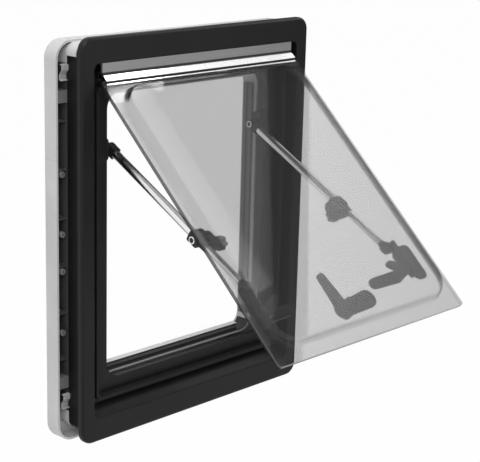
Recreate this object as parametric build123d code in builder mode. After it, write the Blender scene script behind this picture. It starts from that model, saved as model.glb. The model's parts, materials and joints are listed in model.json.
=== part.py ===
from build123d import *
import math
import os

# A top-hung caravan window with its sash open, in millimetres.
# +X is to the right as seen from outside, -Y points outside, +Z is up.
# The origin is on the back face of the flange, which lies against the wall (Y = 0),
# at the middle of the flange's bottom strip.

# Outer frame
FRAME_W = 420.0
FRAME_H = 540.0
FRAME_R = 18.0
FLANGE_T = 9.0
FLANGE_EDGE_R = 4.0
FLANGE_OVERLAP = 11.0
FACE_SIDE_W = 21.3
FACE_END_W = 33.4
MOUTH_R = 9.0
MOUTH_EDGE_R = 2.0
WALL_T = 33.0
WEB_T = 5.0
WEB_R = 13.0
OPENING_W = 302.0
OPENING_H = 388.0
OPENING_R = 22.0
LIP_T = 6.0
LIP_EDGE_R = 2.0
SILL_RISE = 13.0

# Hinge
HINGE_DEPTH = 5.0
HINGE_DROP = 17.6
BEAD_R = 3.0
BEAD_GAP = 0.2
SOCKET_T = 2.1
SOCKET_MARGIN = 32.0
RAIL_END_GAP = 12.7
RAIL_FACE_T = 3.0
RAIL_FOOT_D = 17.0
RAIL_FOOT_T = 2.0
RAIL_FACE_INSET = 0.5
RAIL_LEG_T = 1.5
RAIL_LEG_OUT = 8.0
RAIL_LEG_IN = 4.0
RAIL_BACK_T = 2.0
NECK_T = 2.4
NECK_L = 6.0

# Sash
SASH_OPEN = 47.3
SASH_SIDE_GAP = 8.0
SASH_BOTTOM_GAP = 17.0
SASH_PROUD = 1.5
SASH_CORNER_R = 4.0
SASH_SEAT_GAP = 7.0
PANE_T = 3.0
INNER_PANE_T = 2.5
PANE_TOP_GAP = 0.3
DOME_RISE = 5.0
DOME_SIDE_INSET = 13.7
DOME_TOP = 18.5
DOME_BOTTOM_INSET = 17.6
DOME_R = 37.0
DOME_SLOPE = 5.0
DISH_DEPTH = 4.5
DISH_SIDE_INSET = 11.0
DISH_TOP = 21.0
DISH_BOTTOM_INSET = 26.0
DISH_R = 36.0
DISH_SLOPE = 5.0

# Seal between the frame and the closed sash
SEAL_W = 4.5
SEAL_GAP = 0.4
SEAL_INSET = 3.0
SEAL_TOP = 14.5

# Stays
STAY_INSET = 15.0
ANCHOR_SETBACK = 6.5
ANCHOR_DROP = 100.3
ANCHOR_REACH = 8.0
ANCHOR_H = 30.0
ANCHOR_D = 15.0
ANCHOR_R = 5.0
PIN_R = 3.0
PIN_GAP = 0.06
PIN_HEAD_R = 5.0
PIN_HEAD_T = 2.5
EYE_W = 10.0
EYE_R = 7.0
SIDE_GAP = 0.4
TUBE_R = 6.0
TUBE_START = 15.0
TUBE_END = 190.0
ROD_R = 4.5
ROD_GAP = 0.3
ROD_L = 180.0
CLAMP_START = 178.0
CLAMP_BODY_L = 18.0
CLAMP_NOSE_L = 12.0
CLAMP_NOSE_R = 6.4
CLAMP_ABOVE = 7.0
CLAMP_BELOW = 9.5
CLAMP_OUT = 9.0
CLAMP_IN = 14.0
CLAMP_CORNER_R = 4.0
CLAMP_EDGE_R = 2.0
CLAMP_ARM_FROM = 5.6
CLAMP_ARM_TO = 20.0
CLAMP_ARM_R = 8.0
CLAMP_PLUG_ALONG = 188.0
CLAMP_PLUG_R = 3.5
CLAMP_PLUG_T = 1.0
KNOB_ALONG = 203.0
KNOB_DROP = 2.0
KNOB_R = 9.5
KNOB_T = 12.0
KNOB_LOBES = 6
KNOB_NOTCH_R = 2.6
KNOB_EDGE_R = 1.5
KNOB_GAP = 0.5
KNOB_SHAFT_R = 3.0
ROD_COLLAR_R = 5.0
ROD_COLLAR_L = 5.0
ROD_TONGUE_L = 9.0
ROD_EYE_W = 10.0
ROD_EYE_R = 6.0
ROD_PIN_R = 2.5
ROD_PIN_OVER = 0.6

# Stay mounts on the sash
MOUNT_RISE = 88.0
MOUNT_UNDER = 20.0
MOUNT_EYE_R = 7.0
MOUNT_W = 23.0
MOUNT_START = 4.0
MOUNT_L = 54.0
MOUNT_T = 2.0
MOUNT_END_R = 8.0
CHEEK_T = 4.6
CHEEK_TAIL_H = 8.0
SLOT_TILT = 45.0
SLOT_GAP = 1.2
SLOT_REACH = 30.0

# Catches
CENTRE_X = 1.0
CENTRE_RISE = 29.0
CENTRE_HEEL_X = -15.5
CENTRE_HEEL_RISE = 20.0
CENTRE_HEEL_R = 10.0
CENTRE_TIP_X = -18.5
CENTRE_TIP_RISE = 74.0
CENTRE_TIP_R = 5.0
CENTRE_LEVER_L = 55.0
CENTRE_LEVER_R = 13.0
CENTRE_HUB_R = 10.5
CENTRE_TILT = 5.0
SIDE_INSET = 18.0
SIDE_RISE = 51.0
SIDE_TIP_INSET = 39.0
SIDE_TIP_RISE = 64.0
SIDE_TIP_R = 4.5
SIDE_LEVER_L = 48.0
SIDE_LEVER_R = 8.0
SIDE_HUB_R = 9.0
SIDE_TILT = 0.0
CATCH_BASE_T = 6.0
SPINDLE_R = 4.0
PEDESTAL_R = 8.0
LEVER_GAP = 0.4
LEVER_T = 5.5
LEVER_CLEAR = 5.0
LEVER_EDGE_R = 1.5
LEVER_CAP_R = 6.5
LEVER_CAP_T = 2.0

# Inner frame and blinds
INNER_D = 27.0
INNER_OVER_SIDE = 7.0
INNER_OVER_TOP = -7.0
INNER_OVER_BOTTOM = 6.0
INNER_R = 24.0
INNER_EDGE_R = 6.0
INNER_T = 3.0
INNER_OPENING_R = 20.0
RIB_T = 2.5
RIB_PITCH = 62.0
CLAMP_BLOCK_H = 16.0
CLAMP_BLOCK_D = 18.0
CLAMP_BLOCK_END = 67.0
GUIDE_T = 4.0
GUIDE_D = 16.0
GUIDE_SLOT_W = 5.0
GUIDE_SLOT_D = 2.0
BAR_D = 10.0
BAR_H = 9.0
BAR_EDGE_R = 2.0

# Levels across the wall
Y_FRONT = -FLANGE_T
HINGE_Y = Y_FRONT + HINGE_DEPTH
SASH_T = PANE_T + DISH_DEPTH + INNER_PANE_T
SASH_BACK_Y = HINGE_Y - SASH_PROUD + SASH_T
LIP_FRONT = SASH_BACK_Y + SASH_SEAT_GAP
LIP_BACK = LIP_FRONT + LIP_T
INNER_BACK = WALL_T + INNER_D
ANCHOR_Y = LIP_BACK + ANCHOR_SETBACK

# Levels up the frame
Z_MID = (FRAME_H - FLANGE_OVERLAP) / 2
MOUTH_W = FRAME_W - 2 * FACE_SIDE_W
MOUTH_H = FRAME_H - 2 * FACE_END_W
MOUTH_TOP = Z_MID + MOUTH_H / 2
MOUTH_BOTTOM = Z_MID - MOUTH_H / 2
WEB_W = FRAME_W - 2 * FLANGE_OVERLAP
WEB_H = FRAME_H - 2 * FLANGE_OVERLAP
RAIL_W = MOUTH_W - 2 * RAIL_END_GAP
HINGE_Z = MOUTH_TOP - HINGE_DROP
ANCHOR_Z = HINGE_Z - ANCHOR_DROP
SASH_W = MOUTH_W - 2 * SASH_SIDE_GAP
SASH_END = HINGE_Z - MOUTH_BOTTOM - SASH_BOTTOM_GAP
STAY_X = OPENING_W / 2 - STAY_INSET

# The open sash: along runs from the hinge to the bottom edge, under runs from the outer face inwards
SIN_OPEN = math.sin(math.radians(SASH_OPEN))
COS_OPEN = math.cos(math.radians(SASH_OPEN))
SASH_ALONG = Vector(0, -SIN_OPEN, -COS_OPEN)
SASH_OUT = Vector(0, -COS_OPEN, SIN_OPEN)
SASH = Plane(origin=(0, HINGE_Y, HINGE_Z), x_dir=(1, 0, 0), z_dir=SASH_OUT)
PANE_START = NECK_L + RAIL_BACK_T + PANE_TOP_GAP
RIM_UNDER = PANE_T + INNER_PANE_T
# How far along the closed sash the bottom edge of the opening lies
OPENING_ALONG = HINGE_Z - (Z_MID - OPENING_H / 2)

# The stays: each runs from its anchor to the mount on the open sash
MOUNT_ALONG = OPENING_ALONG - MOUNT_RISE
MOUNT_DEPTH = MOUNT_UNDER - SASH_PROUD
MOUNT_Y = HINGE_Y - MOUNT_ALONG * SIN_OPEN + MOUNT_DEPTH * COS_OPEN
MOUNT_Z = HINGE_Z - MOUNT_ALONG * COS_OPEN - MOUNT_DEPTH * SIN_OPEN
STAY_L = math.hypot(MOUNT_Y - ANCHOR_Y, MOUNT_Z - ANCHOR_Z)
STAY_DIR = Vector(0, MOUNT_Y - ANCHOR_Y, MOUNT_Z - ANCHOR_Z).normalized()
STAY_BELOW = Vector(0, -STAY_DIR.Z, STAY_DIR.Y)

SIDES = {"left": -1, "right": 1}


def wall_plane(level):
    """A plane along the wall at a level of Y, from which extrusions go outwards."""
    return Plane.XZ.offset(-level)


def sash_plane(under):
    """A plane along the sash, under its outer face, from which extrusions go outwards."""
    return SASH.offset(SASH_PROUD - under)


def sash_section(x):
    """The sash's cross-section at x: local x runs along the sash, local y outwards from the hinge."""
    return Plane(origin=(x, HINGE_Y, HINGE_Z), x_dir=SASH_ALONG, z_dir=(-1, 0, 0))


def stay_plane(side, distance):
    """A plane across a stay at a distance from its anchor, from which extrusions go to the sash."""
    return Plane(
        origin=Vector(side * STAY_X, ANCHOR_Y, ANCHOR_Z) + STAY_DIR * distance,
        x_dir=(1, 0, 0),
        z_dir=STAY_DIR,
    )


def cross_plane(side, x, distance, below=0.0):
    """A plane across X at x, centred on a stay, or below it, at a distance from its anchor."""
    centre = Vector(x, ANCHOR_Y, ANCHOR_Z) + STAY_DIR * distance + STAY_BELOW * below
    return Plane(origin=centre, x_dir=STAY_DIR, z_dir=(side, 0, 0))


def write(piece, label):
    """Labels a finished piece and writes its STEP file."""
    piece.part.label = label
    export_step(piece.part, f"parts/{label}.step")


def make_outer_frame():
    with BuildPart() as frame:
        with BuildSketch(wall_plane(0)):
            with Locations((0, Z_MID)):
                RectangleRounded(FRAME_W, FRAME_H, FRAME_R)
        extrude(amount=FLANGE_T)
        fillet(frame.faces().sort_by(Axis.Y)[0].edges(), FLANGE_EDGE_R)
        with BuildSketch(wall_plane(WALL_T)):
            with Locations((0, Z_MID)):
                RectangleRounded(WEB_W, WEB_H, WEB_R)
        extrude(amount=WALL_T)
        with BuildSketch(wall_plane(WALL_T)):
            with Locations((0, Z_MID)):
                RectangleRounded(WEB_W - 2 * WEB_T, WEB_H - 2 * WEB_T, WEB_R - WEB_T)
        extrude(amount=WALL_T - LIP_BACK, mode=Mode.SUBTRACT)
        with BuildSketch(wall_plane(LIP_FRONT)):
            with Locations((0, Z_MID)):
                RectangleRounded(MOUTH_W, MOUTH_H, MOUTH_R)
        extrude(amount=LIP_FRONT - Y_FRONT, mode=Mode.SUBTRACT)
        fillet(frame.faces().sort_by(Axis.Y)[0].inner_wires()[0].edges(), MOUTH_EDGE_R)
        with BuildSketch(Plane.YZ):
            with BuildLine():
                Polyline(
                    (Y_FRONT + MOUTH_EDGE_R, MOUTH_BOTTOM),
                    (LIP_FRONT, MOUTH_BOTTOM),
                    (LIP_FRONT, MOUTH_BOTTOM + SILL_RISE),
                    close=True,
                )
            make_face()
        extrude(amount=MOUTH_W / 2, both=True)
        with BuildSketch(wall_plane(LIP_BACK)):
            with Locations((0, Z_MID)):
                RectangleRounded(OPENING_W, OPENING_H, OPENING_R)
        extrude(amount=LIP_T, mode=Mode.SUBTRACT)
        lip_face = frame.faces().filter_by(Plane.XZ).group_by(Axis.Y)[1].sort_by(SortBy.AREA)[-1]
        fillet(lip_face.inner_wires()[0].edges(), LIP_EDGE_R)
    return frame


def make_seal():
    top = HINGE_Z - SEAL_TOP
    bottom = HINGE_Z - SASH_END + SEAL_INSET
    width = SASH_W - 2 * SEAL_INSET
    middle = (top + bottom) / 2
    with BuildPart() as seal:
        with BuildSketch(wall_plane(LIP_FRONT)):
            with Locations((0, middle)):
                RectangleRounded(width, top - bottom, SASH_CORNER_R + SEAL_W)
                RectangleRounded(
                    width - 2 * SEAL_W, top - bottom - 2 * SEAL_W, SASH_CORNER_R, mode=Mode.SUBTRACT
                )
        extrude(amount=LIP_FRONT - (SASH_BACK_Y - DISH_DEPTH) - SEAL_GAP)
    return seal


def make_hinge_rail():
    face_y = Y_FRONT + RAIL_FACE_INSET
    socket_r = BEAD_R + BEAD_GAP + SOCKET_T
    shelf_z = HINGE_Z + BEAD_R + BEAD_GAP
    mouth_from = math.radians(-SOCKET_MARGIN)
    mouth_to = math.radians(SASH_OPEN + SOCKET_MARGIN)
    mouth_mid = (mouth_from + mouth_to) / 2
    reach = 2 * socket_r
    with BuildPart() as rail:
        with BuildSketch(Plane.YZ):
            with Locations((HINGE_Y, HINGE_Z)):
                Circle(socket_r)
            with Locations((face_y, shelf_z)):
                Rectangle(HINGE_Y - face_y + socket_r, SOCKET_T, align=(Align.MIN, Align.MIN))
                Rectangle(RAIL_FACE_T, MOUTH_TOP - shelf_z, align=(Align.MIN, Align.MIN))
            with Locations((face_y, MOUTH_TOP)):
                Rectangle(RAIL_FOOT_D, RAIL_FOOT_T, align=(Align.MIN, Align.MAX))
            with Locations((HINGE_Y, HINGE_Z)):
                Circle(BEAD_R + BEAD_GAP, mode=Mode.SUBTRACT)
            with BuildLine():
                Polyline(
                    (HINGE_Y, HINGE_Z),
                    (HINGE_Y - reach * math.sin(mouth_from), HINGE_Z - reach * math.cos(mouth_from)),
                    (HINGE_Y - reach * math.sin(mouth_mid), HINGE_Z - reach * math.cos(mouth_mid)),
                    (HINGE_Y - reach * math.sin(mouth_to), HINGE_Z - reach * math.cos(mouth_to)),
                    close=True,
                )
            make_face(mode=Mode.SUBTRACT)
        extrude(amount=RAIL_W / 2, both=True)
    return rail


def make_anchor(side):
    inner_x = OPENING_W / 2 - ANCHOR_REACH
    outer_x = WEB_W / 2 - WEB_T
    boss_end = STAY_X + EYE_W / 2 + SIDE_GAP
    head_x = STAY_X - EYE_W / 2 - SIDE_GAP
    with BuildPart() as anchor:
        with BuildSketch(wall_plane(LIP_BACK + ANCHOR_D)):
            with Locations((side * (inner_x + outer_x) / 2, ANCHOR_Z)):
                Rectangle(outer_x - inner_x, ANCHOR_H)
        extrude(amount=ANCHOR_D)
        fillet(anchor.edges().filter_by(Axis.Y).group_by(Axis.X)[-1 if side < 0 else 0], ANCHOR_R)
        with BuildSketch(cross_plane(side, side * boss_end, 0)):
            Circle(EYE_R - SIDE_GAP)
        extrude(amount=inner_x - boss_end)
        with BuildSketch(cross_plane(side, side * (head_x - PIN_HEAD_T), 0)):
            Circle(PIN_R)
        extrude(amount=inner_x - head_x + PIN_HEAD_T)
        with BuildSketch(cross_plane(side, side * (head_x - PIN_HEAD_T), 0)):
            Circle(PIN_HEAD_R)
        extrude(amount=PIN_HEAD_T)
    return anchor


def formed_sketch(under, inset, side_inset, top, bottom_inset, radius):
    """The outline of a pane's formed step, drawn in by an inset, at a level under the sash's face."""
    bottom = SASH_END - bottom_inset
    width = SASH_W - 2 * side_inset - 2 * inset
    height = bottom - top - 2 * inset
    with BuildSketch(sash_plane(under)) as outline:
        with Locations((0, -(top + bottom) / 2)):
            RectangleRounded(width, height, radius - inset)
    return outline.sketch


def dome_sketch(under, inset):
    return formed_sketch(under, inset, DOME_SIDE_INSET, DOME_TOP, DOME_BOTTOM_INSET, DOME_R)


def dish_sketch(under, inset):
    return formed_sketch(under, inset, DISH_SIDE_INSET, DISH_TOP, DISH_BOTTOM_INSET, DISH_R)


def make_outer_pane():
    with BuildPart() as pane:
        with BuildSketch(sash_plane(PANE_T)):
            with Locations((0, -(PANE_START + SASH_END) / 2)):
                RectangleRounded(SASH_W, SASH_END - PANE_START, SASH_CORNER_R)
        extrude(amount=PANE_T)
        loft(sections=[dome_sketch(0, 0), dome_sketch(-DOME_RISE, DOME_SLOPE)])
        loft(
            sections=[dome_sketch(PANE_T, PANE_T), dome_sketch(PANE_T - DOME_RISE, PANE_T + DOME_SLOPE)],
            mode=Mode.SUBTRACT,
        )
    return pane


def make_inner_pane():
    with BuildPart() as pane:
        with BuildSketch(sash_plane(RIM_UNDER)):
            with Locations((0, -(PANE_START + SASH_END) / 2)):
                RectangleRounded(SASH_W, SASH_END - PANE_START, SASH_CORNER_R)
        extrude(amount=INNER_PANE_T)
        loft(sections=[dish_sketch(RIM_UNDER, 0), dish_sketch(SASH_T, DISH_SLOPE)])
        loft(
            sections=[
                dish_sketch(PANE_T, INNER_PANE_T),
                dish_sketch(SASH_T - INNER_PANE_T, INNER_PANE_T + DISH_SLOPE),
            ],
            mode=Mode.SUBTRACT,
        )
    return pane


def make_sash_rail():
    outer_leg = SASH_PROUD + RAIL_LEG_T
    inner_leg = SASH_PROUD - RIM_UNDER - RAIL_LEG_T
    with BuildPart() as rail:
        with BuildSketch(sash_section(0)):
            Circle(BEAD_R)
            Rectangle(NECK_L, NECK_T, align=(Align.MIN, Align.CENTER))
            with Locations((NECK_L, inner_leg)):
                Rectangle(RAIL_BACK_T, outer_leg - inner_leg, align=(Align.MIN, Align.MIN))
                Rectangle(RAIL_BACK_T + RAIL_LEG_IN, RAIL_LEG_T, align=(Align.MIN, Align.MIN))
            with Locations((NECK_L, outer_leg)):
                Rectangle(RAIL_BACK_T + RAIL_LEG_OUT, RAIL_LEG_T, align=(Align.MIN, Align.MAX))
        extrude(amount=RAIL_W / 2, both=True)
    return rail


def make_stay_mount(side):
    cheek_x = STAY_X + ROD_EYE_W / 2 + SIDE_GAP
    cheek_l = MOUNT_EYE_R + MOUNT_START + MOUNT_L - MOUNT_END_R
    pin_out = SASH_PROUD - MOUNT_UNDER
    floor_out = SASH_PROUD - SASH_T
    with BuildPart() as mount:
        with BuildSketch(sash_plane(SASH_T + MOUNT_T)):
            with Locations((side * (cheek_x + MOUNT_W / 2), -MOUNT_ALONG - MOUNT_START - MOUNT_L / 2)):
                RectangleRounded(MOUNT_W, MOUNT_L, MOUNT_END_R)
        extrude(amount=MOUNT_T)
        with BuildSketch(sash_section(side * cheek_x)):
            with Locations((MOUNT_ALONG, pin_out)):
                Circle(MOUNT_EYE_R)
            with Locations((MOUNT_ALONG - MOUNT_EYE_R, floor_out)):
                Rectangle(cheek_l, CHEEK_TAIL_H, align=(Align.MIN, Align.MAX))
            make_hull()
            with Locations(Location((MOUNT_ALONG, pin_out), -SLOT_TILT)):
                Circle(ROD_PIN_R + SLOT_GAP, mode=Mode.SUBTRACT)
                Rectangle(
                    SLOT_REACH,
                    2 * (ROD_PIN_R + SLOT_GAP),
                    align=(Align.MIN, Align.CENTER),
                    mode=Mode.SUBTRACT,
                )
        extrude(amount=-side * CHEEK_T)
    return mount


def hull_sketch(under, circles):
    """The hull of circles, given by x, along and radius, at a level under the sash's face."""
    with BuildSketch(sash_plane(under)) as outline:
        for x, along, radius in circles:
            with Locations((x, -along)):
                Circle(radius)
        make_hull()
    return outline.sketch


def catch_spindle(name):
    """Where a catch's spindle stands on the sash: x and along."""
    if name == "centre":
        return CENTRE_X, OPENING_ALONG - CENTRE_RISE
    return SIDES[name] * (OPENING_W / 2 - SIDE_INSET), OPENING_ALONG - SIDE_RISE


def catch_feet(name):
    """The outlines of a catch's base, each a list of circles for a hull."""
    spindle = (*catch_spindle(name), PEDESTAL_R)
    if name == "centre":
        heel = (CENTRE_HEEL_X, OPENING_ALONG - CENTRE_HEEL_RISE, CENTRE_HEEL_R)
        tip = (CENTRE_TIP_X, OPENING_ALONG - CENTRE_TIP_RISE, CENTRE_TIP_R)
        return [[tip, heel], [heel, spindle]]
    tip_x = SIDES[name] * (OPENING_W / 2 - SIDE_TIP_INSET)
    return [[(tip_x, OPENING_ALONG - SIDE_TIP_RISE, SIDE_TIP_R), spindle]]


def lever_shape(name):
    """The way in x that a catch's lever points, its upward tilt, length, tip radius and hub radius."""
    if name == "centre":
        return 1, CENTRE_TILT, CENTRE_LEVER_L, CENTRE_LEVER_R, CENTRE_HUB_R
    return -SIDES[name], SIDE_TILT, SIDE_LEVER_L, SIDE_LEVER_R, SIDE_HUB_R


LEVER_UNDER = LIP_BACK - (HINGE_Y - SASH_PROUD) + LEVER_CLEAR


def make_catch_base(name):
    x, along = catch_spindle(name)
    cap_under = LEVER_UNDER + LEVER_T + LEVER_GAP
    with BuildPart() as base:
        for circles in catch_feet(name):
            extrude(hull_sketch(SASH_T + CATCH_BASE_T, circles), amount=CATCH_BASE_T)
        with BuildSketch(sash_plane(LEVER_UNDER - LEVER_GAP)):
            with Locations((x, -along)):
                Circle(PEDESTAL_R)
        extrude(amount=LEVER_UNDER - LEVER_GAP - SASH_T)
        with BuildSketch(sash_plane(cap_under + LEVER_CAP_T)):
            with Locations((x, -along)):
                Circle(SPINDLE_R)
        extrude(amount=cap_under + LEVER_CAP_T - SASH_T)
        with BuildSketch(sash_plane(cap_under + LEVER_CAP_T)):
            with Locations((x, -along)):
                Circle(LEVER_CAP_R)
        extrude(amount=LEVER_CAP_T)
    return base


def make_catch_lever(name):
    x, along = catch_spindle(name)
    way, tilt, length, tip_r, hub_r = lever_shape(name)
    tip_x = x + way * length * math.cos(math.radians(tilt))
    tip_along = along - length * math.sin(math.radians(tilt))
    with BuildPart() as lever:
        outline = hull_sketch(LEVER_UNDER + LEVER_T, [(x, along, hub_r), (tip_x, tip_along, tip_r)])
        extrude(outline, amount=LEVER_T)
        fillet(lever.faces().filter_by(SASH).edges(), LEVER_EDGE_R)
        with BuildSketch(sash_plane(LEVER_UNDER + LEVER_T)):
            with Locations((x, -along)):
                Circle(SPINDLE_R + PIN_GAP)
        extrude(amount=LEVER_T, mode=Mode.SUBTRACT)
    return lever


def make_stay_tube(side):
    with BuildPart() as tube:
        with BuildSketch(stay_plane(side, TUBE_START)):
            Circle(TUBE_R)
            Circle(ROD_R + ROD_GAP, mode=Mode.SUBTRACT)
        extrude(amount=TUBE_END - TUBE_START)
    return tube


def make_stay_eye(side):
    with BuildPart() as eye:
        with BuildSketch(cross_plane(side, side * STAY_X, 0)):
            Circle(EYE_R)
            Rectangle(TUBE_START, 2 * EYE_R, align=(Align.MIN, Align.CENTER))
        extrude(amount=EYE_W / 2, both=True)
        with BuildSketch(stay_plane(side, TUBE_START)):
            Circle(ROD_R)
        extrude(amount=TUBE_R)
        with BuildSketch(cross_plane(side, side * STAY_X, 0)):
            Circle(PIN_R + PIN_GAP)
        extrude(amount=EYE_W / 2, both=True, mode=Mode.SUBTRACT)
    return eye


CLAMP_BODY_END = CLAMP_START + CLAMP_BODY_L
CLAMP_END = CLAMP_BODY_END + CLAMP_NOSE_L


def make_stay_clamp(side):
    middle = (CLAMP_ABOVE - CLAMP_BELOW) / 2
    nose_taper = math.degrees(math.atan((CLAMP_ABOVE - CLAMP_NOSE_R) / CLAMP_NOSE_L))
    with BuildPart() as clamp:
        with BuildSketch(stay_plane(side, CLAMP_START)):
            with Locations((side * (CLAMP_OUT - CLAMP_IN) / 2, middle)):
                RectangleRounded(CLAMP_OUT + CLAMP_IN, CLAMP_ABOVE + CLAMP_BELOW, CLAMP_CORNER_R)
        extrude(amount=CLAMP_BODY_L)
        fillet(clamp.faces().filter_by(stay_plane(side, 0)).edges(), CLAMP_EDGE_R)
        with BuildSketch(stay_plane(side, CLAMP_BODY_END)):
            Circle(CLAMP_ABOVE)
        extrude(amount=CLAMP_NOSE_L, taper=nose_taper)
        with BuildSketch(cross_plane(side, side * (STAY_X - CLAMP_ARM_TO), 0, KNOB_DROP)):
            with Locations((CLAMP_BODY_END - CLAMP_ARM_R, 0), (KNOB_ALONG, 0)):
                Circle(CLAMP_ARM_R)
            make_hull()
        extrude(amount=CLAMP_ARM_TO - CLAMP_ARM_FROM)
        with BuildSketch(cross_plane(side, side * (STAY_X + CLAMP_OUT), CLAMP_PLUG_ALONG, -middle)):
            Circle(CLAMP_PLUG_R)
        extrude(amount=CLAMP_PLUG_T)
        with BuildSketch(stay_plane(side, CLAMP_START)):
            Circle(TUBE_R + PIN_GAP)
        extrude(amount=TUBE_END - CLAMP_START, mode=Mode.SUBTRACT)
        with BuildSketch(stay_plane(side, TUBE_END)):
            Circle(ROD_R + ROD_GAP)
        extrude(amount=CLAMP_END - TUBE_END, mode=Mode.SUBTRACT)
        with BuildSketch(cross_plane(side, side * (STAY_X - CLAMP_ARM_TO), KNOB_ALONG, KNOB_DROP)):
            Circle(KNOB_SHAFT_R + PIN_GAP)
        extrude(amount=CLAMP_ARM_TO, mode=Mode.SUBTRACT)
    return clamp


def make_stay_knob(side):
    knob_x = STAY_X - CLAMP_ARM_TO - KNOB_GAP
    shaft_x = STAY_X - ROD_R - ROD_GAP
    with BuildPart() as knob:
        with BuildSketch(cross_plane(side, side * (knob_x - KNOB_T), KNOB_ALONG, KNOB_DROP)):
            Circle(KNOB_R)
            with PolarLocations(KNOB_R, KNOB_LOBES):
                Circle(KNOB_NOTCH_R, mode=Mode.SUBTRACT)
        extrude(amount=KNOB_T)
        fillet(knob.faces().filter_by(Plane.YZ).edges(), KNOB_EDGE_R)
        with BuildSketch(cross_plane(side, side * knob_x, KNOB_ALONG, KNOB_DROP)):
            Circle(KNOB_SHAFT_R)
        extrude(amount=shaft_x - knob_x)
    return knob


ROD_END = STAY_L - ROD_TONGUE_L - ROD_COLLAR_L


def make_stay_rod(side):
    with BuildPart() as rod:
        with BuildSketch(stay_plane(side, ROD_END - ROD_L)):
            Circle(ROD_R)
        extrude(amount=ROD_L)
    return rod


def make_rod_end(side):
    pin_x = STAY_X - ROD_EYE_W / 2
    with BuildPart() as end:
        with BuildSketch(stay_plane(side, ROD_END)):
            Circle(ROD_COLLAR_R)
        extrude(amount=ROD_COLLAR_L)
        with BuildSketch(cross_plane(side, side * STAY_X, STAY_L)):
            Circle(ROD_EYE_R)
            Rectangle(ROD_TONGUE_L, 2 * ROD_EYE_R, align=(Align.MAX, Align.CENTER))
        extrude(amount=ROD_EYE_W / 2, both=True)
        with BuildSketch(cross_plane(side, side * pin_x, STAY_L)):
            Circle(ROD_PIN_R)
        extrude(amount=ROD_EYE_W + SIDE_GAP + CHEEK_T + ROD_PIN_OVER)
    return end


INNER_W = FRAME_W + 2 * INNER_OVER_SIDE
INNER_TOP = Z_MID + FRAME_H / 2 + INNER_OVER_TOP
INNER_BOTTOM = Z_MID - FRAME_H / 2 - INNER_OVER_BOTTOM
INNER_MID = (INNER_TOP + INNER_BOTTOM) / 2
INNER_H = INNER_TOP - INNER_BOTTOM
CLAMP_SPAN = WEB_H - 2 * CLAMP_BLOCK_END


def make_inner_frame():
    with BuildPart() as frame:
        with BuildSketch(wall_plane(INNER_BACK)):
            with Locations((0, INNER_MID)):
                RectangleRounded(INNER_W, INNER_H, INNER_R)
        extrude(amount=INNER_D)
        fillet(frame.faces().sort_by(Axis.Y)[-1].edges(), INNER_EDGE_R)
        with BuildSketch(wall_plane(INNER_BACK)):
            with Locations((0, Z_MID)):
                RectangleRounded(OPENING_W, OPENING_H, INNER_OPENING_R)
        extrude(amount=INNER_D, mode=Mode.SUBTRACT)
        with BuildSketch(wall_plane(INNER_BACK - INNER_T)):
            with Locations((0, Z_MID)):
                RectangleRounded(WEB_W - 2 * WEB_T, WEB_H - 2 * WEB_T, WEB_R - WEB_T)
                RectangleRounded(
                    OPENING_W + 2 * INNER_T,
                    OPENING_H + 2 * INNER_T,
                    INNER_OPENING_R + INNER_T,
                    mode=Mode.SUBTRACT,
                )
        extrude(amount=INNER_D - INNER_T, mode=Mode.SUBTRACT)
        with BuildSketch(wall_plane(INNER_BACK - INNER_EDGE_R)):
            with Locations((0, INNER_MID)):
                RectangleRounded(INNER_W - 2 * INNER_T, INNER_H - 2 * INNER_T, INNER_R - INNER_T)
            with Locations((0, Z_MID)):
                RectangleRounded(WEB_W, WEB_H, WEB_R, mode=Mode.SUBTRACT)
        extrude(amount=INNER_D - INNER_EDGE_R, mode=Mode.SUBTRACT)
        rib_count = int(CLAMP_SPAN / RIB_PITCH)
        rib_w = INNER_W / 2 - INNER_T - WEB_W / 2
        with BuildSketch(wall_plane(INNER_BACK - INNER_EDGE_R)):
            for side in SIDES.values():
                with Locations((side * (WEB_W + rib_w) / 2, Z_MID)):
                    with GridLocations(0, CLAMP_SPAN / rib_count, 1, rib_count):
                        Rectangle(rib_w + INNER_T, RIB_T)
        extrude(amount=INNER_D - INNER_EDGE_R - INNER_T)
    return frame


def make_frame_clamps():
    block_w = INNER_W / 2 - INNER_T - WEB_W / 2
    with BuildPart() as clamps:
        with BuildSketch(wall_plane(WALL_T + CLAMP_BLOCK_D)):
            for side in SIDES.values():
                with Locations((side * (WEB_W + block_w) / 2, Z_MID)):
                    with GridLocations(0, CLAMP_SPAN, 1, 2):
                        Rectangle(block_w, CLAMP_BLOCK_H)
        extrude(amount=CLAMP_BLOCK_D)
    return clamps


GUIDE_H = OPENING_H - 2 * INNER_OPENING_R
GUIDE_MID_Y = (WALL_T + INNER_BACK) / 2


def make_blind_guide(side):
    with BuildPart() as guide:
        with BuildSketch(Plane.XY.offset(Z_MID - GUIDE_H / 2)):
            with Locations((side * OPENING_W / 2, GUIDE_MID_Y)):
                Rectangle(GUIDE_T, GUIDE_D, align=(Align.MAX if side > 0 else Align.MIN, Align.CENTER))
            with Locations((side * (OPENING_W / 2 - GUIDE_T), GUIDE_MID_Y)):
                Rectangle(2 * GUIDE_SLOT_D, GUIDE_SLOT_W, mode=Mode.SUBTRACT)
        extrude(amount=GUIDE_H)
    return guide


def make_blind_bar(up):
    level = Z_MID + up * (OPENING_H - BAR_H) / 2
    with BuildPart() as bar:
        with BuildSketch(Plane.YZ):
            with Locations((GUIDE_MID_Y, level)):
                RectangleRounded(BAR_D, BAR_H, BAR_EDGE_R)
        extrude(amount=OPENING_W / 2 - INNER_OPENING_R, both=True)
    return bar


os.makedirs("parts", exist_ok=True)

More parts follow.
